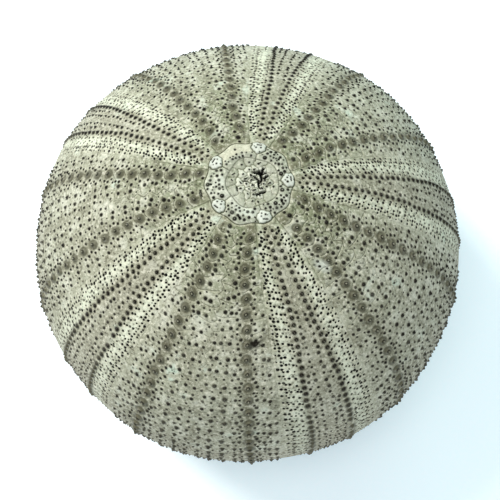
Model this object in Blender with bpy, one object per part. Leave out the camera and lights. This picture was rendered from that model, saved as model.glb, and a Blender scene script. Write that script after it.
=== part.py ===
"""Sea urchin shell: the dried, spineless test of a large regular urchin.

One grown piece.  A thin chalky wall of about 600 plates has set into a single hollow globe.  Five
broad plate fields (interambulacra) and five narrow ones (ambulacra) run from the apical disc at the
top to the mouth opening below.  Ten columns of primary tubercles, where the large spines sat, stand
on the broad fields.  The shell rests on the flat ring around the mouth opening.

Metres, +Z up, origin at the middle of the resting plane.  The middle of one broad field faces -Y.
"""
import math

import bmesh
import bpy
from mathutils import Vector
from mathutils.geometry import delaunay_2d_cdt

MM = 0.001

# Driving dimensions of the wall.
GIRTH_RADIUS = 53.0 * MM        # widest outer radius, without tubercles
CROWN_HEIGHT = 43.6 * MM        # apex above the widest ring
GIRTH_HEIGHT = 30.6 * MM        # widest ring above the resting plane
FLANK_FULLNESS = 2.3            # 2 is an ellipse, more is boxier: the flank below the widest ring
WALL = 2.6 * MM                 # thickness of the wall

# The resting ring and the mouth opening inside it.
REST_OUTER_RADIUS = 28.0 * MM
REST_INNER_RADIUS = 22.5 * MM
MOUTH_RADIUS = 15.5 * MM
MOUTH_RISE = 2.2 * MM           # how far the mouth edge sits above the resting plane
NOTCH_DEPTH = 1.5 * MM          # ten gill notches in the mouth edge
NOTCH_HALF_ANGLE = math.radians(3.6)
LIP_STEPS = 12                  # facets of the outline from the resting ring up to the mouth edge

# The five-rayed plan.
RAYS = 5
RAY_ANGLE = 2.0 * math.pi / RAYS
BROAD_HALF_ANGLE = math.radians(22.5)   # half of one interambulacrum, at the mouth

# The apical disc: ten plates around a sunken, scaly periproct.
PERIPROCT_RADIUS = 5.2 * MM
PERIPROCT_SINK = 0.35 * MM
DISC_RADIUS = 8.95 * MM
DISC_LOBES = 10                 # five genital and five ocular plates, each bulging a little
DISC_SCALLOP = 0.28 * MM
GROOVE_DEPTH = 0.25 * MM
GROOVE_HALF_WIDTH = 0.45 * MM

# Primary tubercles: two alternating columns on each broad field.
TUBERCLE_RADIUS = 1.35 * MM
TUBERCLE_HEIGHT = 0.8 * MM
TUBERCLE_SIDES = 6
FIRST_TUBERCLE = 11.6 * MM      # from the apex, along the wall
PITCH_AT_DISC = 3.1 * MM
PITCH_AT_GIRTH = 3.9 * MM
PITCH_AT_MOUTH = 3.0 * MM
COLUMN_ANGLE = math.radians(14.0)       # from the middle of the broad field
COLUMN_SPREAD = math.radians(2.0)       # extra angle beside the disc, where the field is short
SPREAD_LENGTH = 3.0 * MM

# Facet sizes.
OUTER_SPACING = 4.6 * MM
INNER_SPACING = 8.0 * MM
MOUTH_STEP = math.radians(3.6)
DISC_STEPS = 20                 # facets per ray around the apical disc
REST_STEPS = 10                 # facets per ray around the resting ring
MERIDIAN_STEPS = 240
SLOPE_SPAN = 1.5 * MM           # the slope of the outline is taken over this much either side
EDGE_GAP = 0.4                  # least distance of spots from an edge or a ring, in facet sizes
SPOT_GAP = 0.5                  # least distance of spots from each other, in facet sizes

SHELL_COLOUR = (0.42, 0.41, 0.33, 1.0)
SHELL_ROUGHNESS = 0.6


def meridian():
    """Outer outline of the wall from the apex to the mouth edge: (length along it, radius, height)."""
    flat_share = 1.0 - (REST_OUTER_RADIUS / GIRTH_RADIUS) ** FLANK_FULLNESS
    flank_depth = GIRTH_HEIGHT / flat_share ** (1.0 / FLANK_FULLNESS)
    outline = []
    for step in range(MERIDIAN_STEPS):
        turn = 0.5 * math.pi * step / MERIDIAN_STEPS
        outline.append((GIRTH_RADIUS * math.sin(turn), GIRTH_HEIGHT + CROWN_HEIGHT * math.cos(turn)))
    for step in range(MERIDIAN_STEPS + 1):
        turn = 0.5 * math.pi * step / MERIDIAN_STEPS
        radius = GIRTH_RADIUS * math.cos(turn) ** (2.0 / FLANK_FULLNESS)
        if radius <= REST_OUTER_RADIUS:
            break
        drop = flank_depth * math.sin(turn) ** (2.0 / FLANK_FULLNESS)
        outline.append((radius, GIRTH_HEIGHT - drop))
    outline.append((REST_OUTER_RADIUS, 0.0))
    lip = REST_INNER_RADIUS - MOUTH_RADIUS
    for step in range(LIP_STEPS + 1):
        share = step / LIP_STEPS
        outline.append((REST_INNER_RADIUS - lip * share, MOUTH_RISE * share * share))
    rows = []
    length = 0.0
    for index, (radius, height) in enumerate(outline):
        if index:
            last_radius, last_height = outline[index - 1]
            length += math.hypot(radius - last_radius, height - last_height)
        rows.append((length, radius, height))
    return rows


ROWS = meridian()
FULL_LENGTH = ROWS[-1][0]


def length_at_radius(radius):
    """Length along the meridian where the flank below the widest ring has this radius."""
    rows = ROWS[::-1]
    for (length_a, radius_a, _), (length_b, radius_b, _) in zip(rows, rows[1:]):
        if radius_a <= radius <= radius_b:
            share = (radius - radius_a) / max(radius_b - radius_a, 1e-12)
            return length_a + share * (length_b - length_a)
    raise ValueError("no such radius on the meridian")


def on_meridian(length):
    """Radius and height at a length along the meridian."""
    low, high = 0, len(ROWS) - 1
    while high - low > 1:
        middle = (low + high) // 2
        if ROWS[middle][0] <= length:
            low = middle
        else:
            high = middle
    length_a, radius_a, height_a = ROWS[low]
    length_b, radius_b, height_b = ROWS[high]
    share = min(max((length - length_a) / (length_b - length_a), 0.0), 1.0)
    return radius_a + share * (radius_b - radius_a), height_a + share * (height_b - height_a)


def wall_point(length, angle, rise):
    """Point on the wall, raised along its outward normal; angle turns from -Y towards +X."""
    radius, height = on_meridian(length)
    radius_a, height_a = on_meridian(max(length - SLOPE_SPAN, 0.0))
    radius_b, height_b = on_meridian(min(length + SLOPE_SPAN, FULL_LENGTH))
    along_radius, along_height = radius_b - radius_a, height_b - height_a
    size = math.hypot(along_radius, along_height)
    if length < 1e-9:
        along_radius, along_height, size = 1.0, 0.0, 1.0
    radius += rise * -along_height / size
    height += rise * along_radius / size
    return Vector((radius * math.sin(angle), -radius * math.cos(angle), height))


REST_START = length_at_radius(REST_OUTER_RADIUS)
REST_END = length_at_radius(REST_INNER_RADIUS)
GIRTH_LENGTH = ROWS[MERIDIAN_STEPS][0]


class Sector:
    """One fifth of a skin, laid out flat as (length along the meridian, width across it)."""

    def __init__(self, depth):
        self.depth = depth
        self.spots = []
        self.rises = []
        self.edges = []

    def add(self, length, angle, rise=0.0):
        radius = max(on_meridian(length)[0], 1e-9)
        self.spots.append(Vector((length, radius * angle)))
        self.rises.append(rise - self.depth)
        return len(self.spots) - 1

    def chain(self, indices, closed=False):
        self.edges += list(zip(indices, indices[1:]))
        if closed:
            self.edges.append((indices[-1], indices[0]))

    def clear_of(self, spot, distance):
        return all((spot - other).length > distance for other in self.spots)

    def triangles(self):
        """Delaunay triangles inside the outline, as indices into the sector's own spots."""
        spots, _, faces, _, _, _ = delaunay_2d_cdt(self.spots, self.edges, [], 1, 1e-9)
        if len(spots) != len(self.spots):
            raise ValueError("two spots of a sector fall together")
        return [tuple(face) for face in faces]


def mouth_length(angle):
    """Length along the meridian of the mouth edge, shorter in a gill notch."""
    off_notch = abs(abs(angle) - BROAD_HALF_ANGLE) / NOTCH_HALF_ANGLE
    if off_notch >= 1.0:
        return FULL_LENGTH
    return FULL_LENGTH - NOTCH_DEPTH * math.sqrt(1.0 - off_notch * off_notch)


def disc_outline(angle):
    """Length from the apex to the edge of the disc, which bulges at every plate."""
    return DISC_RADIUS + DISC_SCALLOP * math.cos(DISC_LOBES * angle)


def disc_rings():
    """Rings that shape the apical disc: (length from the apex at an angle, rise)."""
    return (
        (lambda angle: PERIPROCT_RADIUS - GROOVE_HALF_WIDTH, -PERIPROCT_SINK),
        (lambda angle: PERIPROCT_RADIUS + GROOVE_HALF_WIDTH, 0.0),
        (lambda angle: disc_outline(angle) - GROOVE_HALF_WIDTH, 0.0),
        (disc_outline, -GROOVE_DEPTH),
        (lambda angle: disc_outline(angle) + GROOVE_HALF_WIDTH, 0.0),
    )


def outline_sector(sector, spacing, rings):
    """Boundary of a sector, and the rings that run across it from side to side."""
    half = 0.5 * RAY_ANGLE
    ring_lengths = [ring(half) for ring, _, _ in rings]
    side_count = round(FULL_LENGTH / spacing)
    side = [(ring(half), rise) for ring, rise, _ in rings]
    for step in range(1, side_count):
        length = FULL_LENGTH * step / side_count
        if all(abs(length - taken) > EDGE_GAP * spacing for taken in ring_lengths):
            side.append((length, 0.0))
    side.sort()
    side_lengths = [length for length, _ in side]
    pole = sector.add(0.0, 0.0, -PERIPROCT_SINK if ring_lengths[0] < PERIPROCT_RADIUS else 0.0)
    left = [sector.add(length, -half, rise) for length, rise in side]
    right = [sector.add(length, half, rise) for length, rise in side]
    mouth_count = round(RAY_ANGLE / MOUTH_STEP)
    mouth = []
    for step in range(mouth_count + 1):
        angle = -half + RAY_ANGLE * step / mouth_count
        mouth.append(sector.add(mouth_length(angle), angle))
    sector.chain([pole] + left + mouth + right[::-1], closed=True)
    for ring, rise, count in rings:
        place = side_lengths.index(ring(half))
        chain = [left[place]]
        for step in range(1, count):
            angle = RAY_ANGLE * (step / count - 0.5)
            chain.append(sector.add(ring(angle), angle, rise))
        chain.append(right[place])
        sector.chain(chain)
    return mouth


def tubercle_lengths():
    """Lengths along the meridian of one column, from the disc to the resting ring."""
    lengths = []
    length = FIRST_TUBERCLE
    while length < REST_START - 1.6 * TUBERCLE_RADIUS:
        lengths.append(length)
        if length < GIRTH_LENGTH:
            share = length / GIRTH_LENGTH
            length += PITCH_AT_DISC + share * (PITCH_AT_GIRTH - PITCH_AT_DISC)
        else:
            share = (length - GIRTH_LENGTH) / (REST_START - GIRTH_LENGTH)
            length += PITCH_AT_GIRTH + share * (PITCH_AT_MOUTH - PITCH_AT_GIRTH)
    return lengths


def column_angle(length):
    """Angle of a primary column from the middle of its field."""
    return COLUMN_ANGLE + COLUMN_SPREAD * math.exp(-(length - FIRST_TUBERCLE) / SPREAD_LENGTH)


def add_primary_tubercles(sector):
    """Low six-sided bosses; the second column sits half a plate further down."""
    lengths = tubercle_lengths()
    between = [0.5 * (above + below) for above, below in zip(lengths, lengths[1:])]
    for side, column in ((-1.0, lengths), (1.0, between)):
        for length in column:
            radius = on_meridian(length)[0]
            angle = side * column_angle(length)
            sector.add(length, angle, TUBERCLE_HEIGHT)
            foot = []
            for corner in range(TUBERCLE_SIDES):
                turn = 2.0 * math.pi * corner / TUBERCLE_SIDES
                along = TUBERCLE_RADIUS * math.cos(turn)
                across = TUBERCLE_RADIUS * math.sin(turn)
                foot.append(sector.add(length + along, angle + across / radius))
            sector.chain(foot, closed=True)


def fill_sector(sector, spacing):
    """Evenly spread spots over whatever is still bare."""
    rows = int(FULL_LENGTH / spacing)
    for row in range(1, rows):
        length = FULL_LENGTH * row / rows
        if length > REST_START - EDGE_GAP * spacing:
            continue
        half_width = 0.5 * RAY_ANGLE * on_meridian(length)[0]
        columns = max(int(2.0 * half_width / spacing), 1)
        for column in range(columns):
            width = half_width * (2.0 * (column + 0.25 + 0.5 * (row % 2)) / columns - 1.0)
            inside = half_width - abs(width) > EDGE_GAP * spacing
            if inside and sector.clear_of(Vector((length, width)), SPOT_GAP * spacing):
                sector.add(length, width / on_meridian(length)[0])


def rest_rings():
    """The two edges of the flat resting ring."""
    return [(lambda angle: REST_START, 0.0, REST_STEPS), (lambda angle: REST_END, 0.0, REST_STEPS)]


def outer_sector():
    sector = Sector(0.0)
    rings = [(ring, rise, DISC_STEPS) for ring, rise in disc_rings()] + rest_rings()
    mouth = outline_sector(sector, OUTER_SPACING, rings)
    add_primary_tubercles(sector)
    fill_sector(sector, OUTER_SPACING)
    return sector, mouth


def inner_sector():
    sector = Sector(WALL)
    mouth = outline_sector(sector, INNER_SPACING, rest_rings())
    fill_sector(sector, INNER_SPACING)
    return sector, mouth


def add_skin(mesh, sector, mouth, outward):
    """Five turned copies of a sector; returns the mouth edge of each as bmesh vertices."""
    faces = sector.triangles()
    edges_of_mouth = []
    for ray in range(RAYS):
        verts = []
        for spot, rise in zip(sector.spots, sector.rises):
            radius = max(on_meridian(spot.x)[0], 1e-9)
            verts.append(mesh.verts.new(wall_point(spot.x, spot.y / radius + ray * RAY_ANGLE, rise)))
        for face in faces:
            corners = [verts[index] for index in face]
            mesh.faces.new(corners if outward else corners[::-1])
        edges_of_mouth.append([verts[index] for index in mouth])
    return edges_of_mouth


def close_mouth(mesh, outer_edges, inner_edges):
    """The edge of the wall around the mouth, between the outer and the inner skin."""
    for outer, inner in zip(outer_edges, inner_edges):
        for index in range(len(outer) - 1):
            mesh.faces.new((outer[index], outer[index + 1], inner[index + 1], inner[index]))


def shell_material():
    """Dry, chalky, pale grey-green calcite."""
    material = bpy.data.materials.new("calcite")
    material.use_nodes = True
    surface = material.node_tree.nodes["Principled BSDF"]
    surface.inputs["Base Color"].default_value = SHELL_COLOUR
    surface.inputs["Roughness"].default_value = SHELL_ROUGHNESS
    surface.inputs["Metallic"].default_value = 0.0
    material.diffuse_color = SHELL_COLOUR
    return material


def build_test():
    """The whole test: outer skin, inner skin and the mouth edge, as one closed solid."""
    mesh = bmesh.new()
    outer_edges = add_skin(mesh, *outer_sector(), outward=True)
    inner_edges = add_skin(mesh, *inner_sector(), outward=False)
    close_mouth(mesh, outer_edges, inner_edges)
    bmesh.ops.remove_doubles(mesh, verts=mesh.verts[:], dist=0.002 * MM)
    bmesh.ops.recalc_face_normals(mesh, faces=mesh.faces[:])
    data = bpy.data.meshes.new("test")
    mesh.to_mesh(data)
    mesh.free()
    data.materials.append(shell_material())
    test = bpy.data.objects.new("test", data)
    bpy.context.scene.collection.objects.link(test)
    return test


for leftover in list(bpy.data.objects):
    bpy.data.objects.remove(leftover)
build_test()
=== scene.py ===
import math

import bpy
import numpy as np
from mathutils import Matrix, Vector
from mathutils.geometry import delaunay_2d_cdt


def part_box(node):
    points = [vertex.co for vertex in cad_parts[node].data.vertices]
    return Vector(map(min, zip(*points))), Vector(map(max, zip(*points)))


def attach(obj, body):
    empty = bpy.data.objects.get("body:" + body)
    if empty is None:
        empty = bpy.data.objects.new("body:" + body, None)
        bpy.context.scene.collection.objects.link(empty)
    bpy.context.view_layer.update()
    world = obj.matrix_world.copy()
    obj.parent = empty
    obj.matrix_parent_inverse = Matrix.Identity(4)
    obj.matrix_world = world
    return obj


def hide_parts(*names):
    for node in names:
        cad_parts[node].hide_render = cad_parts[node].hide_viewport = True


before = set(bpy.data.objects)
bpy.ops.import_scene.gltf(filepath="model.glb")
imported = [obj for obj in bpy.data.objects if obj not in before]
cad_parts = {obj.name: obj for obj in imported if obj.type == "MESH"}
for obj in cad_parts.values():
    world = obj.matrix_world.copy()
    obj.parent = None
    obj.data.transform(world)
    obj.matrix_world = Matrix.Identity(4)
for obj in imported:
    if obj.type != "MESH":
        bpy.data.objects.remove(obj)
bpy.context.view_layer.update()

# ---------------------------------------------------------------------------------------------
# Broad plate fields (interambulacra): five, each of two columns of calcite plates that grew
# together in a zigzag.  Every plate carries one primary tubercle, ringed by smaller ones, where
# the spines sat.  Sutures lock the fields to the narrow ones beside them.

# The shell grew as one low globe, a touch uneven, that flattens round the mouth.  All plates are
# laid on the curve of that wall.  Lengths are millimetres until a piece is made.
low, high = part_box("test")
MM = 0.001
girth = 0.4941 * (high.x - low.x) / MM          # widest radius, under the tubercles
total_height = high.z / MM
girth_height = 0.414 * total_height
crown = total_height + 0.2 - girth_height
flank_fullness = 2.3
rest_outer, rest_inner = 0.528 * girth, 0.425 * girth
mouth_radius, mouth_rise = 0.2925 * girth, 2.2
wall = 2.6
tip_clearance = 0.35                            # the wall rides this high on its tubercle tips
crown_steps = 400


def wall_outline():
    """Radius and height of the outer face, from the apex to the mouth edge."""
    turn = np.linspace(0.0, 0.5 * math.pi, crown_steps)
    radius = [girth * np.sin(turn)]
    height = [girth_height + crown * np.cos(turn)]
    share = 1.0 - (rest_outer / girth) ** flank_fullness
    depth = (girth_height - tip_clearance) / share ** (1.0 / flank_fullness)
    flank = girth * np.cos(turn[1:]) ** (2.0 / flank_fullness)
    kept = flank > rest_outer
    radius.append(flank[kept])
    height.append(girth_height - depth * np.sin(turn[1:][kept]) ** (2.0 / flank_fullness))
    lip = np.linspace(0.0, 1.0, 40)
    radius.append(rest_outer + (mouth_radius - rest_outer) * lip)
    climb = np.clip((rest_inner - radius[-1]) / (rest_inner - mouth_radius), 0.0, 1.0)
    height.append(tip_clearance + mouth_rise * climb ** 2)
    return np.concatenate(radius), np.concatenate(height)


outline_radius, outline_height = wall_outline()
steps = np.hypot(np.diff(outline_radius), np.diff(outline_height))
outline_length = np.concatenate(([0.0], np.cumsum(steps)))
full_length = outline_length[-1]
girth_length = outline_length[crown_steps - 1]

# The outward normal, eased over a few millimetres so the foot of the flank turns softly.
even_length = np.arange(0.0, full_length, 0.25)
even_radius = np.interp(even_length, outline_length, outline_radius)
even_height = np.interp(even_length, outline_length, outline_height)
ease_half = 8
ease = np.hanning(2 * ease_half + 1) / np.hanning(2 * ease_half + 1).sum()
normal_r, normal_z = (np.convolve(np.pad(slope, ease_half, mode="edge"), ease, mode="valid")
                      for slope in (-np.gradient(even_height), np.gradient(even_radius)))
normal_size = np.hypot(normal_r, normal_z)
normal_r, normal_z = normal_r / normal_size, normal_z / normal_size


def wall_radius(along):
    return np.interp(along, outline_length, outline_radius)


def on_wall(along, angle, rise):
    """Points on the wall in metres; angle turns from -Y towards +X, rise is outwards."""
    uneven = (0.0045 * np.cos(angle - 2.4) + 0.0050 * np.cos(3.0 * angle - 0.9)
              + 0.0035 * np.cos(4.0 * angle + 1.7) + 0.0030 * np.cos(7.0 * angle + 0.6))
    out = wall_radius(along) * (1.0 + uneven) + np.interp(along, even_length, normal_r) * rise
    up = np.interp(along, outline_length, outline_height) + np.interp(along, even_length, normal_z) * rise
    up = np.maximum(up, 0.0)
    return MM * np.column_stack((out * np.sin(angle), -out * np.cos(angle), up))


disc_reach, disc_lobe = 8.95, 0.28
head_length = 9.0                               # the fields' widths are read here at the disc


def disc_edge(angle):
    """Length from the apex to the edge of the apical disc, lobed by its ten plates."""
    return disc_reach + disc_lobe * np.cos(10.0 * angle)


ray = 2.0 * math.pi / 5.0
broad_half = math.radians(22.5)
notch_half, notch_depth = math.radians(3.4), 1.6


def mouth_edge(angle):
    """Length from the apex to the mouth edge, cut back by a gill notch beside every field."""
    folded = np.abs((angle + 0.5 * ray) % ray - 0.5 * ray)
    away = np.clip(np.abs(folded - broad_half) / notch_half, 0.0, 1.0)
    return full_length - notch_depth * np.sqrt(1.0 - away ** 2)


def fade_in(along, start, length):
    """0 above the start, 1 once the length is run, straight between."""
    return np.clip((along - start) / length, 0.0, 1.0)


def broad_edge(along):
    """Half angle of a broad field; its suture with the narrow fields wanders a little."""
    wander = 0.07 * np.sin(along * 1.93) + 0.06 * np.sin(along * 3.11 + 1.0)
    fade = fade_in(along, 10.0, 6.0) * fade_in(-along, 4.0 - full_length, 6.0)
    stations = (9.4, 10.5, 16.0, 22.0, 30.0, 44.0, 58.0, girth_length, full_length - 12.0, full_length)
    degrees = np.interp(along, stations, (22.6, 22.0, 20.5, 21.2, 21.9, 22.8, 23.5, 24.0, 22.5, 22.5))
    return np.radians(degrees) + fade * wander / np.maximum(wall_radius(along), 1.0)


def triangulate(places, loop):
    """Triangles inside a closed outline; gives the places they use, in order, and the faces."""
    edges = list(zip(loop, loop[1:] + loop[:1]))
    _, _, faces, origins, _, _ = delaunay_2d_cdt([Vector(place) for place in places], edges, [], 1, 1e-7)
    return np.array([group[0] for group in origins]), [tuple(face) for face in faces]


# What the spots tell the finish about their place; calcite() says which shade each one lays on.
tone_names = ("boss", "areole", "pore", "seam", "rim", "pale", "warm", "band", "inside", "white", "cream")
head_steps, side_steps, foot_steps = 25, 300, 45


class Field:
    """One plate field laid out flat: along the wall from the apex, and across it."""

    cell = 0.1                                  # fineness of the map of places already taken
    span = 25.0                                 # no field reaches further than this to a side
    lip = 0.16                                  # from a suture to the row of spots beside it

    def __init__(self, middle, half_angle, seed):
        self.middle = middle
        self.half_angle = half_angle
        self.chance = np.random.default_rng(seed)
        self.along, self.across, self.rise = [], [], []
        self.tones = {name: [] for name in tone_names}
        self.count = 0
        self.kept = np.zeros((0, 3))
        rows, columns = int(full_length / self.cell) + 40, int(2.0 * self.span / self.cell)
        self.taken = np.zeros((rows, columns), bool)

    def half_width(self, along):
        return wall_radius(along) * self.half_angle(along)

    def nudge(self, values, spread):
        """Moves each value a little at random."""
        return values + self.chance.normal(0.0, spread, len(values))

    def vary(self, sizes, least, most):
        """Makes each size a little smaller or larger at random."""
        return sizes * self.chance.uniform(least, most, len(sizes))

    def spots(self, along, across, rise=0.0, **tones):
        """Adds spots with the tones of their surface, and returns their numbers."""
        along, across = np.broadcast_arrays(np.atleast_1d(along), np.atleast_1d(across))
        self.along.append(along.astype(float))
        self.across.append(across.astype(float))
        self.rise.append(np.broadcast_to(rise, along.shape).astype(float))
        for name in tone_names:
            self.tones[name].append(np.broadcast_to(tones.get(name, 0.0), along.shape).astype(float))
        first = self.count
        self.count += len(along)
        return np.arange(first, self.count)

    def cover(self, along, across, reach):
        """Marks round patches as taken, so that filling spots keep off them."""
        for a, c, r in zip(along, across, np.broadcast_to(reach, np.shape(along))):
            cells = int(math.ceil(r / self.cell))
            row, column = int(a / self.cell), int((c + self.span) / self.cell)
            square = np.arange(-cells, cells + 1)
            disc = square[:, None] ** 2 + square[None, :] ** 2 <= (r / self.cell) ** 2
            rows = slice(max(row - cells, 0), row + cells + 1)
            columns = slice(max(column - cells, 0), column + cells + 1)
            target = self.taken[rows, columns]
            if target.shape == disc.shape:
                target |= disc

    def is_free(self, along, across):
        rows = np.clip((along / self.cell).astype(int), 0, self.taken.shape[0] - 1)
        columns = np.clip(((across + self.span) / self.cell).astype(int), 0, self.taken.shape[1] - 1)
        return ~self.taken[rows, columns]

    def inside(self, along, across, margin):
        angle = across / np.maximum(wall_radius(along), 0.1)
        top = disc_edge(self.middle + angle) + margin
        bottom = mouth_edge(self.middle + angle) - margin
        return (np.abs(across) < self.half_width(along) - margin) & (along > top) & (along < bottom)

    def make_room(self, along, across, reach, gap=0.08):
        """Keeps the tubercles or pores that clear all earlier ones; returns which were kept."""
        fits = self.inside(along, across, reach + self.lip)
        kept = []
        for index in np.nonzero(fits)[0]:
            a, c, r = along[index], across[index], reach[index]
            apart = np.hypot(self.kept[:, 0] - a, self.kept[:, 1] - c)
            if (apart >= self.kept[:, 2] + r + gap).all():
                self.kept = np.vstack((self.kept, (a, c, r)))
                kept.append(index)
        kept = np.array(kept, int)
        self.cover(along[kept], across[kept], reach[kept] + 0.10)
        return kept

    def stamp(self, along, across, size, rings, depth=1.0):
        """Presses a tubercle or pore at each place, from its rings: share of size, rise, corners, tones."""
        for share, rise, corners, tones in rings:
            turn = 2.0 * math.pi * (np.arange(corners) + 0.5 * (corners % 4 > 0)) / corners
            spread = (size * share)[:, None]
            a = along[:, None] + spread * np.cos(turn) * (corners > 1)
            c = across[:, None] + spread * np.sin(turn) * (corners > 1)
            tall = np.broadcast_to(np.asarray(rise * depth, float).reshape(-1, 1), a.shape)
            full = {name: np.broadcast_to(np.asarray(value, float).reshape(-1, 1), a.shape).ravel()
                    for name, value in tones.items()}
            self.spots(a.ravel(), c.ravel(), tall.ravel(), **full)

    def frame_edges(self):
        """The outline of the field and a row of spots just inside it, which make the suture groove."""
        top = float(disc_edge(self.middle + self.half_angle(head_length)))
        bottom = float(mouth_edge(self.middle + self.half_angle(full_length)))
        side = np.linspace(top, bottom, side_steps)
        half = self.half_angle(side)
        turn = np.linspace(-half[0], half[0], head_steps)[1:-1]
        head = disc_edge(self.middle + turn)
        end_turn = np.linspace(-half[-1], half[-1], foot_steps)[1:-1]
        foot = mouth_edge(self.middle + end_turn)
        groove = -np.interp(side, (9.0, 14.0, 30.0, 80.0), (0.10, 0.09, 0.05, 0.03))
        width = wall_radius(side)
        dark = np.interp(side, (9.0, 14.0, 30.0, 60.0), (0.7, 0.45, 0.14, 0.08))
        left = self.spots(side, -half * width, groove, seam=dark)
        lower = self.spots(foot, end_turn * wall_radius(foot), 0.0)
        right = self.spots(side, half * width, groove, seam=dark)
        upper = self.spots(head, turn * wall_radius(head), -0.12, seam=1.0)
        self.loop = np.concatenate((left, lower, right[::-1], upper[::-1])).tolist()
        self.mouth = np.concatenate((left[-1:], lower, right[-1:]))
        for way in (-1.0, 1.0):
            inner = side[2:-2]
            c = way * (half[2:-2] * width[2:-2] - self.lip)
            self.spots(inner, c, 0.0, rim=0.25)
            self.cover(inner, c, 0.26)
        inner_turn = np.linspace(-0.92, 0.92, head_steps - 2) * half[0]
        inner_head = disc_edge(self.middle + inner_turn) + 0.17
        self.spots(inner_head, inner_turn * wall_radius(inner_head), 0.02, rim=0.6)
        self.cover(inner_head, inner_turn * wall_radius(inner_head), 0.28)

    def seam_line(self, along, across, depth, rim, dark=1.0):
        """A suture: a fine groove with a paler lip on either side."""
        step = np.hypot(np.diff(along), np.diff(across))
        run = np.concatenate(([0.0], np.cumsum(step)))
        even = np.arange(0.0, run[-1], 0.34)
        a, c = np.interp(even, run, along), np.interp(even, run, across)
        slope_a, slope_c = np.gradient(a), np.gradient(c)
        size = np.maximum(np.hypot(slope_a, slope_c), 1e-6)
        for shift, lip in ((0.0, 0.0), (-0.15, 0.5), (0.15, 1.0)):
            aa, cc = a - shift * slope_c / size, c + shift * slope_a / size
            keep = self.is_free(aa, cc) & self.inside(aa, cc, 0.30)
            groove = shift == 0.0
            strength = dark * np.interp(aa, (10.0, 22.0, 32.0, 44.0, 60.0), (1.0, 0.9, 0.5, 0.16, 0.08))
            self.spots(aa[keep], cc[keep], -depth if groove else 0.02,
                       seam=(1.0 if groove else 0.12) * strength[keep], rim=rim * lip * strength[keep])
        keep = self.is_free(a, c)
        self.cover(a[keep], c[keep], 0.30)

    def zigzag(self, line, rows, swing):
        """The middle suture swings from side to side, once for every plate."""
        nearest = np.interp(line, rows, np.arange(len(rows)))
        return swing * (2.0 * np.abs(2.0 * (nearest % 1.0) - 1.0) - 1.0)

    def fill(self, spacing):
        """Evenly scattered spots over whatever wall is still bare."""
        for number, along in enumerate(np.arange(head_length, full_length, 0.866 * spacing)):
            reach = float(self.half_width(along))
            across = np.arange(-reach, reach, spacing) + 0.5 * spacing * (number % 2)
            a = along + self.chance.uniform(-0.18, 0.18, across.shape) * spacing
            c = across + self.chance.uniform(-0.18, 0.18, across.shape) * spacing
            keep = self.is_free(a, c) & self.inside(a, c, 0.32)
            self.spots(a[keep], c[keep], self.chance.normal(0.0, 0.008, keep.sum()))

    def build(self, name, ground_tones):
        """Triangulates the outer and the inner face, joins them at the mouth, and makes the piece."""
        along, across, rise = (np.concatenate(part) for part in (self.along, self.across, self.rise))
        tones = {key: np.concatenate(part) for key, part in self.tones.items()}
        for key, value in ground_tones(along, across).items():
            tones[key] = np.maximum(tones[key], value)
        pick, polygons = triangulate(zip(along, across), self.loop)
        angle = self.middle + across[pick] / np.maximum(wall_radius(along[pick]), 0.01)
        outer = on_wall(along[pick], angle, rise[pick])
        numbering = {index: spot for spot, index in enumerate(pick)}
        lip_along, lip_across = along[self.mouth], across[self.mouth]
        lip_turn = lip_across / wall_radius(lip_along)
        lining, lining_flat, lining_faces, lining_mouth = self.lining(lip_along, lip_turn)
        polygons += [tuple(len(outer) + index for index in reversed(face)) for face in lining_faces]
        lips = [on_wall(lip_along + 0.22, self.middle + lip_turn, -wall * share) for share in (0.22, 0.78)]
        rows = [[numbering[index] for index in self.mouth]]
        for number in range(len(lips)):
            start = len(outer) + len(lining) + number * len(self.mouth)
            rows.append(list(range(start, start + len(self.mouth))))
        rows.append([len(outer) + index for index in lining_mouth])
        for upper, lower in zip(rows, rows[1:]):
            polygons += zip(upper[:-1], upper[1:], lower[1:], lower[:-1])
        foot = np.full(len(self.mouth), full_length)
        flat = [np.column_stack((along[pick], across[pick])), lining_flat]
        flat += [np.column_stack((foot + lift, lip_across)) for lift in (4.0, 2.0)]
        picked = {key: value[pick] for key, value in tones.items()}
        inner = np.concatenate([lining] + lips)
        make_piece(name, outer, inner, polygons, picked, np.concatenate(flat))

    def lining(self, mouth_along, mouth_turn):
        """The inner face of the wall: smoother, with only the sutures to see."""
        side = np.linspace(float(self.along[0][0]), float(self.along[0][-1]), 90)
        half = self.half_angle(side)
        head_turn = np.linspace(-half[0], half[0], 9)[1:-1]
        head = disc_edge(self.middle + head_turn)
        along = [np.concatenate((side[:-1], mouth_along, side[-2::-1], head[::-1]))]
        turn = [np.concatenate((-half[:-1], mouth_turn, half[-2::-1], head_turn[::-1]))]
        ring = list(range(len(along[0])))
        first = len(side) - 1
        for number, a in enumerate(np.arange(10.0, full_length - 1.0, 1.5)):
            reach = float(self.half_width(a))
            c = np.arange(-reach, reach, 1.6) + 0.8 * (number % 2)
            keep = self.inside(np.full(c.shape, a), c, 0.7)
            along.append(np.full(keep.sum(), a))
            turn.append(c[keep] / wall_radius(a))
        along, turn = np.concatenate(along), np.concatenate(turn)
        pick, faces = triangulate(zip(along, turn * wall_radius(along)), ring)
        order = {index: spot for spot, index in enumerate(pick)}
        mouth = [order[index] for index in range(first, first + len(mouth_along))]
        along, turn = along[pick], turn[pick]
        swell = 0.25 * (1.0 - (turn / self.half_angle(along)) ** 2) * fade_in(along, 10.0, 8.0)
        swell *= fade_in(-along, -full_length, 8.0)
        points = on_wall(along, self.middle + turn, -wall + swell)
        return points, np.column_stack((along, turn * wall_radius(along))), faces, mouth


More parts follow.
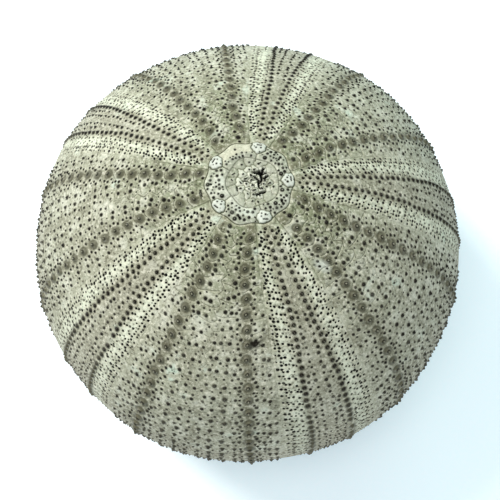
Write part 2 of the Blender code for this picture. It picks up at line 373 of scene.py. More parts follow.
class Wire:
    """A number on its way through a material; arithmetic on it adds the Math nodes."""

    def __init__(self, recipe, socket):
        self.recipe = recipe
        self.socket = socket

    def maths(self, operation, *others, clamp=False):
        settings = {"operation": operation, "use_clamp": clamp}
        return Wire(self.recipe, self.recipe.node("ShaderNodeMath", settings, [self, *others]).outputs[0])

    def __add__(self, other):
        return self.maths("ADD", other)

    def __sub__(self, other):
        return self.maths("SUBTRACT", other)

    def __rsub__(self, other):
        return self.maths("MULTIPLY", -1.0) + other

    def __mul__(self, other):
        return self.maths("MULTIPLY", other)

    __radd__ = __add__
    __rmul__ = __mul__

    def ramp(self, start, end):
        """0 below start, 1 above end, eased between."""
        node = self.recipe.node("ShaderNodeMapRange", {"interpolation_type": "SMOOTHSTEP"},
                                {"Value": self, "From Min": start, "From Max": end})
        return Wire(self.recipe, node.outputs[0])


class Recipe:
    """The nodes of one finish."""

    def __init__(self, name):
        self.material = bpy.data.materials.new(name)
        self.material.use_nodes = True
        self.tree = self.material.node_tree
        self.surface = self.tree.nodes["Principled BSDF"]

    def node(self, kind, settings=None, inputs=None):
        """Adds a node: its settings first, then the values or links of its sockets."""
        node = self.tree.nodes.new(kind)
        for key, value in (settings or {}).items():
            setattr(node, key, value)
        pairs = inputs.items() if isinstance(inputs, dict) else enumerate(inputs or ())
        for key, value in pairs:
            self.feed(node.inputs[key], value)
        return node

    def feed(self, socket, value):
        if isinstance(value, Wire):
            self.tree.links.new(value.socket, socket)
        elif isinstance(value, bpy.types.NodeSocket):
            self.tree.links.new(value, socket)
        else:
            socket.default_value = value

    def tone(self, name):
        node = self.node("ShaderNodeAttribute", {"attribute_name": name})
        return Wire(self, node.outputs["Fac"])

    def noise(self, place, scale, detail=3.0, rough=0.55):
        """Soft cloudy noise, scale in patches per metre."""
        node = self.node("ShaderNodeTexNoise", {"noise_dimensions": "3D"},
                         {"Vector": place, "Scale": scale, "Detail": detail, "Roughness": rough})
        return Wire(self, node.outputs["Fac"])

    def tint(self, under, over, share):
        """One colour laid over another by a share."""
        node = self.node("ShaderNodeMix", {"data_type": "RGBA", "clamp_factor": True},
                         {0: share, 6: under, 7: over})
        return node.outputs[2]


def shade_of(red, green, blue):
    """A colour as seen on screen, 0 to 255, turned into the linear colour that a socket takes."""
    linear = [((value / 255.0 + 0.055) / 1.055) ** 2.4 for value in (red, green, blue)]
    return (*linear, 1.0)


def calcite():
    """Dry, chalky plate calcite: grey, greener near the top, with dark tubercle tips; in metres."""
    recipe = Recipe("calcite")
    place = recipe.node("ShaderNodeTexCoord").outputs["Object"]
    split = recipe.node("ShaderNodeSeparateXYZ", inputs=[place])
    height = Wire(recipe, split.outputs[2])
    flat = recipe.node("ShaderNodeCombineXYZ", inputs={"X": split.outputs[0], "Y": split.outputs[1]})
    length = recipe.node("ShaderNodeVectorMath", {"operation": "LENGTH"}, [flat.outputs[0]])
    far = Wire(recipe, length.outputs["Value"])
    clouds = recipe.noise(place, 70.0, 4.0)
    patches = recipe.noise(place, 260.0, 4.0)
    grain = recipe.noise(place, 1500.0, 3.0, 0.6)
    pits = recipe.noise(place, 4200.0, 2.0, 0.6)
    speckle = recipe.noise(place, 620.0, 4.0, 0.65)
    tone = recipe.tone
    near_top = 1.0 - far.ramp(0.010, 0.036)
    green = (near_top + (clouds - 0.5) * 1.1).maths("MULTIPLY", height.ramp(0.040, 0.060), clamp=True)
    # Painted glints: pale mint patches near the top that stand in for glints of light.
    painted_mint_glint = clouds.ramp(0.52, 0.66) * patches.ramp(0.56, 0.68) * height.ramp(0.036, 0.056)

    # Each line lays one shade over the ones before it.
    layers = (
        ((120, 126, 98), green),                                            # green round the disc
        ((192, 192, 176), patches.ramp(0.50, 0.66) * 0.80),                 # pale patches
        ((116, 114, 96), patches.ramp(0.50, 0.34) * 0.55),                  # dull patches
        ((154, 150, 133), tone("warm") * 0.45),                             # middle of the narrow fields
        ((98, 94, 74), tone("band") * (0.30 + clouds * 0.5)),               # along the primary tubercles
        ((146, 134, 112), height.ramp(0.056, 0.026) * 0.62),                # browner flank
        ((178, 200, 182), painted_mint_glint * 0.6),                                      # painted mint glints near the top
        ((213, 217, 196), tone("pale") * (speckle.ramp(0.34, 0.58) * 0.70 + 0.15)),  # pore zones
        ((192, 190, 166), tone("rim") * 0.7),                               # worn lips, and pale tubercle tips that are partly painted highlight
        ((80, 74, 58), grain.ramp(0.53, 0.66) * 0.62),                      # dark grain
        ((218, 214, 196), grain.ramp(0.47, 0.34) * 0.56),                   # pale grain
        ((76, 74, 56), tone("areole") * (0.44 + patches * 0.6)),            # areoles
        ((214, 218, 208), tone("white") * (speckle * 0.5 + 0.75)),          # bleached plates
        ((206, 202, 178), tone("cream") * (speckle * 1.2 + 0.3)),           # sieve plate and scales
        ((60, 62, 44), tone("seam") * 0.9),                                 # sutures
        ((22, 18, 9), tone("boss") * 1.15),                                 # tubercle tips
        ((6, 5, 4), tone("pore") * 1.1),                                    # pores
        ((190, 184, 166), tone("inside") * 0.9),                            # inner face
    )
    colour = shade_of(160, 160, 141)
    for shade, share in layers:
        colour = recipe.tint(colour, shade_of(*shade), share)
    recipe.feed(recipe.surface.inputs["Base Color"], colour)

    # Duller on the plates, a slight shine on the tubercle tips.
    rough = 0.58 + (grain - 0.5) * 0.25 - tone("boss") * 0.14 - tone("areole") * 0.12
    recipe.feed(recipe.surface.inputs["Roughness"], rough)
    recipe.surface.inputs["Specular IOR Level"].default_value = 0.14
    relief = grain * 0.6 + pits * 0.4 + patches * 0.5
    bump = recipe.node("ShaderNodeBump", inputs={"Strength": 0.35, "Distance": 0.00022, "Height": relief})
    recipe.feed(recipe.surface.inputs["Normal"], bump.outputs[0])
    return recipe.material


shell_calcite = calcite()


def lay_map(mesh, flat, first_inner):
    """Lays the skin out flat: its two halves and the inner face side by side."""
    corners = np.empty(len(mesh.loops), np.int32)
    mesh.loops.foreach_get("vertex_index", corners)
    sizes = np.empty(len(mesh.polygons), np.int32)
    mesh.polygons.foreach_get("loop_total", sizes)
    starts = np.concatenate(([0], np.cumsum(sizes)[:-1]))
    along, across = flat[:, 0], 0.5 + 0.49 * flat[:, 1] / np.abs(flat[:, 1]).max()
    first, last = along[:first_inner].min(), along[:first_inner].max()
    middle = 0.5 * (first + last)
    lower = np.repeat(np.add.reduceat(along[corners], starts) / sizes, sizes) > middle
    inner = np.repeat(np.maximum.reduceat(corners, starts) >= first_inner, sizes)
    under = along.copy()
    under[:first_inner] = last + 6.0
    left = 0.42 * across[corners] + 0.42 * lower
    up = (along[corners] - np.where(lower, middle - 1.5, first - 1.0)) / (middle - first + 3.0)
    left = np.where(inner, 0.85 + 0.15 * across[corners], left)
    up = np.where(inner, (under[corners] - first + 0.5) / (last - first + 7.0), up)
    layer = mesh.uv_layers.new(name="OFBake")
    layer.data.foreach_set("uv", np.column_stack((left, up)).ravel().astype(np.float32))


def make_piece(name, outer, inner, polygons, tones, flat):
    """Smooth-shaded piece that stands for the CAD wall and rides with it."""
    mesh = bpy.data.meshes.new(name)
    mesh.from_pydata(np.concatenate((outer, inner)).tolist(), [], polygons)
    for key in tone_names:
        values = np.full(len(outer) + len(inner), key == "inside", np.float32)
        values[:len(outer)] = tones[key]
        mesh.attributes.new(key, "FLOAT", "POINT").data.foreach_set("value", values)
    mesh.validate()
    lay_map(mesh, flat, len(outer))
    mesh.shade_smooth()
    mesh.materials.append(shell_calcite)
    piece = bpy.data.objects.new(name, mesh)
    bpy.context.scene.collection.objects.link(piece)
    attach(piece, "root")
    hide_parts("test")


# Rings of one tubercle: share of its reach, rise, corners, tones.  A primary is a smooth sunken
# areole, a boss and the round mamelon that the spine turned on.  The rises hold at these reaches.
primary_reach, secondary_reach, granule_reach = 1.2, 0.6, 0.22
primary_rings = (
    (1.10, 0.03, 16, {"rim": 0.18, "areole": 0.12}),
    (0.92, -0.02, 16, {"areole": 0.70}),
    (0.80, -0.09, 14, {"areole": 0.95, "boss": 0.12}),
    (0.64, -0.05, 12, {"areole": 1.0, "boss": 0.04}),
    (0.46, 0.26, 12, {"areole": 0.85, "boss": 0.10}),
    (0.36, 0.36, 12, {"areole": 0.80, "boss": 0.45}),
    (0.28, 0.30, 10, {"areole": 0.9, "boss": 0.85}),
    (0.22, 0.46, 10, {"areole": 0.8, "boss": 0.65}),
    # The pale top of the mamelon is partly its own pale calcite and partly a painted highlight.
    (0.13, 0.62, 8, {"areole": 0.5, "boss": 0.25, "rim": 0.4}),
    (0.0, 0.66, 1, {"areole": 0.4, "boss": 0.10, "rim": 0.6}),
)


def secondary_rings(shade):
    return (
        (1.30, 0.01, 9, {"rim": 0.32 * shade}),
        (1.04, -0.04, 9, {"areole": 0.70 * shade, "boss": 0.06 * shade}),
        (0.70, 0.03, 9, {"areole": 0.60, "boss": 0.94 * shade}),
        (0.44, 0.34, 7, {"boss": shade}),
        (0.0, 0.50, 1, {"boss": 0.90 * shade}),
    )


def granule_rings(shade):
    return (
        (1.15, 0.0, 6, {"boss": 0.12 * shade}),
        (0.72, 0.03, 6, {"boss": 0.85 * shade}),
        (0.0, 0.17, 1, {"boss": shade}),
    )


def pore_rings(chance, number):
    """A round hole with a ragged lip."""
    ragged = chance.uniform(0.82, 1.18, number)
    return (
        (1.35 * ragged, 0.02, 7, {"rim": 0.55}),
        (1.0 * ragged, -0.02, 7, {"pore": 0.55}),
        (0.84 * ragged, -0.22, 6, {"pore": 1.0}),
        (0.0, -0.45, 1, {"pore": 1.0}),
    )


def plate_centres():
    """Lengths of the primary tubercles of one column: the plates grow taller to the girth."""
    centres = []
    along = 10.35
    while along < full_length - 3.2:
        centres.append(along)
        if along < girth_length:
            along += 2.80 + 0.90 * along / girth_length
        else:
            along += 3.70 - 1.5 * (along - girth_length) / (full_length - girth_length)
    return np.array(centres)


def primary_column(along):
    """Distance of the primary tubercles from the middle of a broad field."""
    stations = (10.0, 11.7, 13.2, 16.0, 19.0, 22.5, 30.0, 44.0, 58.0, girth_length, full_length)
    degrees = np.interp(along, stations, (16.4, 14.8, 13.2, 11.9, 11.6, 12.3, 13.1, 14.1, 14.5, 15.4, 14.0))
    return wall_radius(along) * np.radians(degrees)


def primary_size(along):
    """Reach of the sunken areole round each primary tubercle of a broad field."""
    stations = (10.0, 13.0, 25.0, 45.0, 58.0, girth_length, 95.0, 110.0, full_length)
    return np.interp(along, stations, (0.95, 1.06, 1.14, 1.20, 1.40, 1.58, 1.45, 1.15, 0.55))


def add_secondaries(field, along, across, reach, strength=1.0):
    """Secondary tubercles, paler towards the girth, wherever they clear the earlier ones."""
    kept = field.make_room(along, across, reach)
    shade = strength * field.chance.uniform(0.80, 1.0, len(kept))
    shade *= np.interp(along[kept], (45.0, 72.0), (1.0, 0.72))
    field.stamp(along[kept], across[kept], reach[kept], secondary_rings(shade),
                reach[kept] / secondary_reach)


def add_row(field, way, use, along, across, spread, reach, least, most, strength=1.0):
    """A row of secondaries on one side, nudged out of line; use says which plates have one."""
    along = field.nudge(along, spread[0])[use]
    across = way * field.nudge(np.broadcast_to(across, use.shape), spread[1])[use]
    reach = field.vary(np.broadcast_to(reach, use.shape)[use], least, most)
    add_secondaries(field, along, across, reach, strength)


def add_granules(field, per_square, reach, strength, share=1.0):
    """Miliary tubercles: the finest ones, scattered over a share of the width where there is room."""
    area = 2.0 * np.mean(field.half_width(np.linspace(10, full_length, 60))) * (full_length - 10.0)
    number = int(area * per_square)
    along = field.chance.uniform(10.0, full_length - 1.0, number)
    side = field.chance.uniform(-1.0, 1.0, number)
    across = side * field.half_width(along)
    wanted = (np.abs(side) <= share) & field.is_free(along, across)
    along, across = along[wanted], across[wanted]
    size = field.vary(np.full(len(along), reach), 0.8, 1.25)
    kept = field.make_room(along, across, size, 0.05)
    shade = strength * field.chance.uniform(0.5, 1.0, len(kept))
    field.stamp(along[kept], across[kept], size[kept], granule_rings(shade),
                size[kept] / granule_reach)


def add_broad_secondaries(field, way, column):
    """The smaller tubercles of one column of plates; the earlier rows take the room first."""
    pitch = np.interp(column, (10.0, girth_length, full_length), (3.0, 3.7, 2.4))
    middle = primary_column(column)
    half = field.half_width(column)
    stations = (11.0, 22.0, 45.0, 66.0, 95.0, full_length)
    grow = np.interp(column, stations, (0.88, 0.72, 0.80, 1.12, 1.05, 0.8))
    # The main row of each plate, from the primary tubercle to the middle of the field.
    main_row = ((0.53, 0.66, 0.0), (0.30, 0.62, 3.6), (0.12, 0.52, 7.0), (0.74, 0.50, 7.5))
    for share, size, narrowest in main_row:
        add_row(field, way, middle > narrowest, column, middle * share, (0.16, 0.14),
                size * grow, 0.85, 1.1)
    # The ring of small tubercles round each primary.
    for turn in (0.0, 0.72, -0.72, math.pi - 0.62, math.pi + 0.62, math.pi):
        far = field.nudge(0.68 + primary_size(column), 0.08)
        along = field.nudge(column + far * math.sin(turn) * 0.95, 0.10)
        across = way * (middle + far * math.cos(turn))
        add_secondaries(field, along, across, field.vary(0.45 * grow, 0.8, 1.15))
    # Rows outside the primaries, towards the pores.
    for step in (3.3, 4.7, 6.1):
        add_row(field, way, middle + step < half - 0.5, column + 0.2 * step - 0.5, middle + step,
                (0.15, 0.14), 0.52 * grow, 0.75, 1.15)
    # The lower row of each plate: smaller tubercles along the suture.
    for step in np.arange(0.9, 18.0, 1.75):
        use = (step < half - 0.5) & (np.abs(step - middle) > 1.5)
        add_row(field, way, use, column + 0.5 * pitch, step, (0.22, 0.25), 0.34 * grow, 0.75, 1.25, 0.9)


def add_broad_seams(field, way, column):
    """The sutures between the plates of one column, which hug each primary tubercle."""
    for index, along in enumerate(column[:-1]):
        pitch = column[index + 1] - along
        across = np.linspace(0.35, float(field.half_width(along)) - 0.1, 40)
        hug = 0.30 * pitch * np.exp(-((across - float(primary_column(along))) / 1.3) ** 2)
        line = along + 0.22 * pitch + hug + 0.10 * pitch * np.cos(across * 0.9 + index)
        depth = float(np.interp(along, (12.0, 30.0, 50.0), (0.11, 0.07, 0.035)))
        field.seam_line(line, way * across, depth, 0.9)


def make_broad_field(number):
    field = Field(number * ray, broad_edge, seed=11 + number)
    field.frame_edges()
    centres = plate_centres()
    if number == 4:
        # A short crack beside the apical disc.
        holes = 5
        along, across = field.nudge(np.full(holes, 10.15), 0.05), np.linspace(1.0, 2.2, holes)
        field.make_room(along, across, np.full(holes, 0.12), -0.2)
        field.stamp(along, across, np.full(holes, 0.26), pore_rings(field.chance, holes))
    columns = ((-1.0, centres), (1.0, 0.5 * (centres[1:] + centres[:-1])))
    for way, column in columns:
        along = field.nudge(column, 0.07)
        across = field.nudge(way * primary_column(along), 0.10)
        size = field.vary(primary_size(column), 0.94, 1.05)
        kept = field.make_room(along, across, size, 0.02)
        field.stamp(along[kept], across[kept], size[kept], primary_rings, size[kept] / primary_reach)
    for way, column in columns:
        add_broad_secondaries(field, way, column)
    for way, column in columns:
        add_broad_seams(field, way, column)
    line = np.linspace(11.0, full_length - 2.0, 900)
    field.seam_line(line, field.zigzag(line, centres, 0.55), 0.06, 0.6)
    add_granules(field, 0.42, 0.23, 0.65)
    field.fill(0.74)

    def ground(along, across):
        far = (np.abs(across) - primary_column(along)) / 1.25
        middle = np.exp(-(across / 1.1) ** 2) * fade_in(along, 34.0, 20.0)
        tones = {"band": np.maximum(np.exp(-far ** 2), 0.55 * middle)}
        if number == 0:
            # An old stain has eaten into the plates beside one primary.
            reach = np.hypot((along - 32.9) / 0.95, (across - 9.0) / 1.15)
            reach += 0.35 * np.sin(along * 5.3 + 1.0) * np.sin(across * 4.7)
            tones["boss"] = 0.95 * np.clip(1.5 - reach, 0.0, 1.0)
        if number == 1:
            # A worn, bleached patch at the edge.
            reach = np.hypot((along - 22.4) / 1.5, (across + 6.2) / 0.9)
            tones["white"] = 0.55 * np.clip(1.6 - reach, 0.0, 1.0)
        return tones

    field.build(f"broad_field_{number + 1}", ground)


for number in range(5):
    make_broad_field(number)

# ---------------------------------------------------------------------------------------------
# Narrow plate fields (ambulacra): five, of the same calcite in smaller plates, locked by sutures
# between the broad ones.  Two columns of tubercles run down the middle of each, and the pore
# pairs that the tube feet came out of stand in arcs of three in a pale zone either side.


def narrow_edge(along):
    return 0.5 * ray - broad_edge(along)


def narrow_rows():
    """Lengths of the primary tubercles of one column; the plates grow taller to the girth."""
    rows = [10.3]
    stations = (10.0, 40.0, 60.0, girth_length, full_length)
    while rows[-1] < full_length - 5.0:
        rows.append(rows[-1] + np.interp(rows[-1], stations, (1.50, 1.62, 1.95, 2.30, 1.70)))
    return np.array(rows)


def narrow_primary_rings(brown, dark):
    """A smaller primary: its areole browner and its boss less dark further down the shell."""
    return (
        (1.08, 0.01, 12, {"rim": 0.30}),
        (0.92, -0.03, 12, {"areole": 0.70 * brown}),
        (0.72, -0.06, 12, {"areole": 0.95 * brown, "boss": 0.18}),
        (0.57, 0.05, 10, {"areole": 0.9, "boss": 0.92 * dark}),
        (0.36, 0.34, 8, {"areole": 0.9, "boss": dark}),
        (0.17, 0.56, 6, {"areole": 0.6, "boss": 0.8 * dark}),
        (0.0, 0.60, 1, {"areole": 0.4, "boss": 0.5 * dark, "rim": 0.3}),
    )


def add_pores(field, along, across, gap, tilt):
    """A pair of pores side by side."""
    for way in (-0.5, 0.5):
        a = field.nudge(along + way * tilt, 0.05)
        c = field.nudge(across + way * gap, 0.05)
        size = field.vary(np.full(len(a), 0.25), 0.78, 1.2) * np.interp(a, (40.0, 68.0), (1.0, 1.35))
        kept = field.make_room(a, c, 1.05 * size, 0.0)
        field.stamp(a[kept], c[kept], size[kept], pore_rings(field.chance, len(kept)))


def add_narrow_column(field, way, along, pitch):
    """One column of plates: its primary tubercles, its pore pairs and its smaller tubercles."""
    half = field.half_width(along)
    stations = (10.0, 15.0, 22.0, 30.0, 44.0, 58.0, 77.0, 130.0)
    primaries = half * np.interp(along, stations, (0.20, 0.20, 0.24, 0.29, 0.41, 0.43, 0.45, 0.42))
    stations = (10.0, 16.0, 40.0, 58.0, 77.0, 120.0)
    size = field.vary(np.interp(along, stations, (0.45, 0.62, 0.74, 0.90, 1.16, 0.84)), 0.93, 1.06)
    a, c = field.nudge(along, 0.06), way * field.nudge(primaries, 0.07)
    kept = field.make_room(a, c, size, -0.06)
    brown = np.interp(a, (12.0, 40.0, 66.0), (0.45, 0.75, 1.0))[kept]
    dark = field.vary(np.interp(a, (46.0, 68.0), (1.0, 0.32)), 0.85, 1.0)[kept]
    field.stamp(a[kept], c[kept], size[kept], narrow_primary_rings(brown, dark), 0.95 * size[kept])

    inner = way * field.nudge(np.maximum(half * 0.505, primaries + 0.9 * size + 0.45), 0.05)
    gap = np.interp(along, (10.0, 20.0, 80.0), (0.50, 0.58, 0.80))
    add_pores(field, field.nudge(along + 0.45 * pitch, 0.07), inner, gap, -0.25 * way)
    for drop, share in ((0.10, 0.755), (0.60, 0.885)):
        outer_along = field.nudge(along + drop * pitch, 0.07)
        add_pores(field, outer_along, way * field.nudge(half * share, 0.07), 1.30 * gap, 0.12)

    # Small tubercles beside the primaries and among the pores: how far down the plate, how far
    # across, spread, reach, the least and most of it, strength, and whether some plates lack one.
    for drop, across, spread, reach, least, most, strength, patchy in (
            (0.00, primaries + size + 0.30, (0.12, 0.06), 0.28, 0.8, 1.20, 0.95, False),
            (0.55, primaries + 0.62, (0.12, 0.06), 0.24, 0.8, 1.20, 0.90, False),
            (0.30, half * 0.61, (0.15, 0.12), 0.25, 0.8, 1.30, 0.85, True),
            (0.82, half * 0.66, (0.15, 0.12), 0.25, 0.8, 1.30, 0.85, True),
            (0.85, half * 0.80, (0.12, 0.12), 0.25, 0.7, 1.25, 0.85, False),
            (0.35, half * 0.93, (0.12, 0.10), 0.26, 0.7, 1.30, 0.85, False)):
        use = np.ones(len(along), bool)
        if patchy:
            likely = np.interp(along, (14.0, 26.0, 50.0), (0.15, 0.6, 0.9))
            use = field.chance.uniform(0.0, 1.0, len(along)) < likely
        add_row(field, way, use, along + drop * pitch, across, spread, reach, least, most, strength)

    # Inner columns, which start as the field widens.
    lower = along + 0.4 * pitch
    inner_columns = ((0.13, 27.0, 0.40), (0.28, 42.0, 0.42), (0.05, 60.0, 0.36), (0.20, 66.0, 0.36))
    for share, start, reach in inner_columns:
        use = (lower > start) & (field.chance.uniform(0.0, 1.0, len(along)) < 0.95)
        add_row(field, way, use, lower, half * share, (0.20, 0.18), reach, 0.75, 1.2, 0.95)


def make_narrow_field(number):
    field = Field((number + 0.5) * ray, narrow_edge, seed=31 + number)
    field.frame_edges()
    rows = narrow_rows()
    pitch = np.gradient(rows)
    add_narrow_column(field, -1.0, rows, pitch)
    add_narrow_column(field, 1.0, rows + 0.5 * pitch, pitch)
    line = np.linspace(10.5, full_length - 2.0, 1400)
    field.seam_line(line, field.zigzag(line, rows, 0.28), 0.03, 0.35, 0.35)
    add_granules(field, 0.9, 0.21, 0.7, share=0.45)
    add_granules(field, 0.3, 0.18, 0.6)
    field.fill(0.70)

    def ground(along, across):
        share = np.abs(across) / np.maximum(field.half_width(along), 0.1)
        bright = np.interp(share, (0.40, 0.52, 0.58, 0.74, 0.82, 0.92), (0.0, 0.45, 1.0, 1.0, 0.45, 0.10))
        fade = np.interp(along, (9.0, 14.0, 42.0, 60.0, 80.0), (0.6, 0.9, 1.0, 0.6, 0.3))
        near = np.exp(-((share - 0.42) / 0.06) ** 2) * fade_in(along, 14.0, 12.0)
        column = np.exp(-((share - 0.45) * field.half_width(along) / 1.15) ** 2)
        return {"pale": bright * fade, "warm": fade_in(-share, -0.5, 0.1), "band": 0.5 * near,
                "areole": column * (0.55 * fade_in(along, 56.0, 12.0))}

    field.build(f"narrow_field_{number + 1}", ground)


for number in range(5):
    make_narrow_field(number)

# ---------------------------------------------------------------------------------------------
# The apical disc: five genital plates, one of them the sieve plate (madreporite), five white
# ocular plates between them, and the periproct, a skin of loose scales round the anal slits.
# All are calcite, and sutures close their ring against the ten fields.

scale_centre = np.array((0.65, 0.15))
scale_reach, ocular_reach, genital_pore_reach = 5.35, 7.85, 7.75
sieve_plate = 3                                 # counted from the front, towards +X


def scale_gap(east, north):
    """Distance outside the edge of the periproct, negative on it."""
    east, north = east - scale_centre[0], north - scale_centre[1]
    turn = np.arctan2(east, -north)
    return np.hypot(east, north) - scale_reach - 0.22 * np.cos(5.0 * turn) - 0.10 * np.cos(3.0 * turn + 1.0)


def ocular_gap(east, north):
    """Distance outside the nearest ocular plate, and the place on it, tangential and radial."""
    best = np.full(east.shape, 99.0)
    across, outward = np.zeros(east.shape), np.zeros(east.shape)
    for number in range(5):
        turn = (number + 0.5) * ray
        out = east * math.sin(turn) - north * math.cos(turn) - ocular_reach
        side = east * math.cos(turn) + north * math.sin(turn)
        width = 1.56 * (1.0 + 0.24 * out)
        gap = 1.35 * ((np.abs(side / width) ** 2.2 + np.abs(out / 1.36) ** 2.2) ** (1.0 / 2.2) - 1.0)
        swing = np.arctan2(side, out)
        gap += 0.09 * np.cos(5.0 * swing) + 0.05 * np.sin(9.0 * swing + number)
        near = gap < best
        best = np.where(near, gap, best)
        across, outward = np.where(near, side, across), np.where(near, out, outward)
    return best, across, outward


def plate_gap(east, north):
    """Distance to the nearest edge of the genital plate that a spot is on."""
    along, turn = np.hypot(east, north), np.arctan2(east, -north)
    joint = along * np.sin(np.abs(turn % ray - 0.5 * ray))
    edge = disc_edge(turn) - along
    return np.minimum.reduce([scale_gap(east, north), ocular_gap(east, north)[0], joint, edge])


def soft_step(value, start, end):
    share = np.clip((value - start) / (end - start), 0.0, 1.0)
    return share * share * (3.0 - 2.0 * share)


def bell(value, width):
    return np.exp(-(value / width) ** 2)


def near_line(east, north, points):
    """Distance to a line through the points."""
    best = np.full(east.shape, 99.0)
    for (x0, y0), (x1, y1) in zip(points, points[1:]):
        length = (x1 - x0) ** 2 + (y1 - y0) ** 2
        share = np.clip(((east - x0) * (x1 - x0) + (north - y0) * (y1 - y0)) / length, 0.0, 1.0)
        best = np.minimum(best, np.hypot(east - x0 - share * (x1 - x0), north - y0 - share * (y1 - y0)))
    return best


def disc_dots(chance):
    """Small tubercles of the five genital plates: east, north, reach and darkness."""
    dots = []
    tries = 400
    for plate in range(5):
        sieve = plate == sieve_plate
        placed = []
        for reach, wanted in ((0.46, 2), (0.33, 7), (0.26, 8), (0.19, 6)):
            for _ in range(tries):
                if wanted == 0:
                    break
                turn = plate * ray + chance.uniform(-0.50, 0.50)
                along = chance.uniform(5.4, 8.7)
                spot = np.array((along * math.sin(turn), -along * math.cos(turn)))
                if sieve and (along > 6.6 or reach > 0.3):
                    continue
                crowded = any(np.hypot(*(spot - other[:2])) < reach + other[2] + 0.10 for other in placed)
                if crowded or plate_gap(spot[:1], spot[1:])[0] < reach + 0.10:
                    continue
                placed.append((*spot, reach, chance.uniform(0.75, 1.0)))
                wanted -= 1
        dots += placed
    return dots


class Disc:
    """The disc seen from above: spots east and north of the apex, with their rise and tones."""

    pitch = 0.135                               # from spot to spot
    span = 9.6

    def __init__(self, seed):
        self.chance = np.random.default_rng(seed)
        rows = np.arange(-self.span, self.span, 0.866 * self.pitch)
        columns = np.arange(-self.span, self.span, self.pitch)
        grid = [(column + 0.5 * self.pitch * (number % 2), row)
                for number, row in enumerate(rows) for column in columns]
        east, north = np.array(grid).T
        inner = np.hypot(east, north) < disc_edge(np.arctan2(east, -north)) - 0.12
        east, north = east[inner], north[inner]
        east = east + self.chance.uniform(-0.2, 0.2, east.shape) * self.pitch
        north = north + self.chance.uniform(-0.2, 0.2, north.shape) * self.pitch

        # The rim repeats the upper ends of the ten fields, so that the plates meet.
        rim_turn = []
        for number in range(5):
            for middle, half_angle in ((number, broad_edge), (number + 0.5, narrow_edge)):
                half = float(half_angle(head_length))
                rim_turn += list(middle * ray + np.linspace(-half, half, head_steps)[:-1])
        rim_turn = np.array(rim_turn)
        self.rim = len(rim_turn)
        self.east = np.concatenate((disc_edge(rim_turn) * np.sin(rim_turn), east))
        self.north = np.concatenate((-disc_edge(rim_turn) * np.cos(rim_turn), north))
        self.along = np.hypot(self.east, self.north)
        self.turn = np.arctan2(self.east, -self.north)
        self.skin_gap = scale_gap(self.east, self.north)
        self.eye_gap, self.across, self.outward = ocular_gap(self.east, self.north)
        self.rise = np.zeros(self.east.shape)
        self.tones = {name: np.zeros(self.east.shape) for name in tone_names}

    def most(self, name, value):
        """A mark that covers what lies under it, instead of adding to it."""
        self.tones[name] = np.maximum(self.tones[name], value)

    def genital_plates(self):
        """Gently domed plates, each with a pale lip, a dark suture and a pore."""
        east, north, gap = self.east, self.north, plate_gap(self.east, self.north)
        genital = (self.skin_gap >= 0.0) & (self.eye_gap >= 0.0)
        self.rise += genital * (0.30 * (1.0 - np.exp(-np.abs(gap) / 0.5)) - 0.14 * bell(gap, 0.12))
        self.tones["seam"] += genital * bell(gap, 0.11)
        self.tones["rim"] += genital * (0.12 + 0.6 * bell(gap - 0.26, 0.15))
        self.tones["white"] += genital * 0.22

        # The sieve plate is cream and riddled with fine dark holes.
        sieve_turn = (self.turn - sieve_plate * ray + math.pi) % (2.0 * math.pi) - math.pi
        sieve = genital * soft_step(0.62 - np.abs(sieve_turn), 0.0, 0.12) * soft_step(self.along, 6.1, 6.9)
        speckled = np.sin(21.0 * east + 3.0 * np.sin(9.0 * north))
        speckled = 0.5 + 0.5 * speckled * np.sin(19.0 * north + 2.0 * np.sin(11.0 * east))
        self.tones["cream"] += sieve * (0.35 + 0.40 * speckled) * soft_step(gap, 0.05, 0.3)
        bleached = np.hypot(east + 0.1, north - 7.9)
        self.tones["white"] += sieve * 0.7 * soft_step(bleached, 1.5, 0.6)
        self.tones["boss"] += sieve * 0.30 * soft_step(speckled, 0.16, 0.04)
        for number in range(5):
            pore = np.hypot(east - genital_pore_reach * math.sin(number * ray),
                            north + genital_pore_reach * math.cos(number * ray))
            self.most("pore", soft_step(pore, 0.30, 0.16))
            self.rise -= 0.5 * soft_step(pore, 0.32, 0.12)

    def ocular_plates(self):
        """Small white shields with a slit and a few dots."""
        on_eye, inside = self.eye_gap < 0.0, -self.eye_gap
        dome = 0.16 + 0.30 * (1.0 - np.exp(-np.abs(inside) / 0.35))
        self.rise += on_eye * (dome - 0.22 * bell(inside, 0.10))
        self.tones["white"] += on_eye * soft_step(inside, 0.04, 0.20) * 0.66
        self.tones["seam"] += on_eye * bell(inside, 0.09)
        plate = np.floor((self.turn % (2.0 * math.pi)) / ray).astype(int)

        def differ(least, most):
            """A number that differs from plate to plate."""
            return self.chance.uniform(least, most, 5)[plate]

        lean, shift = differ(-0.35, 0.35), differ(-0.25, 0.25)
        slit = np.hypot(np.maximum(np.abs(self.across - shift) - 0.42, 0.0),
                        self.outward - 0.62 - lean * self.across)
        self.tones["boss"] += on_eye * 0.9 * soft_step(slit, 0.20, 0.08)
        self.rise -= on_eye * 0.25 * soft_step(slit, 0.22, 0.06)
        dots = ((-0.62, -0.02, 0.30), (0.30, -0.30, 0.27), (-0.22, -0.80, 0.20), (0.85, 0.10, 0.17))
        for side, out, reach in dots:
            side, out = side + differ(-0.22, 0.22), out + differ(-0.2, 0.2)
            speck = np.hypot(self.across - side, self.outward - out) / (reach * differ(0.7, 1.15))
            self.most("boss", on_eye * 0.9 * soft_step(speck, 1.05, 0.55))
            self.most("areole", on_eye * 0.3 * soft_step(speck, 1.7, 1.0))
            self.rise += on_eye * 0.08 * soft_step(speck, 1.0, 0.2)

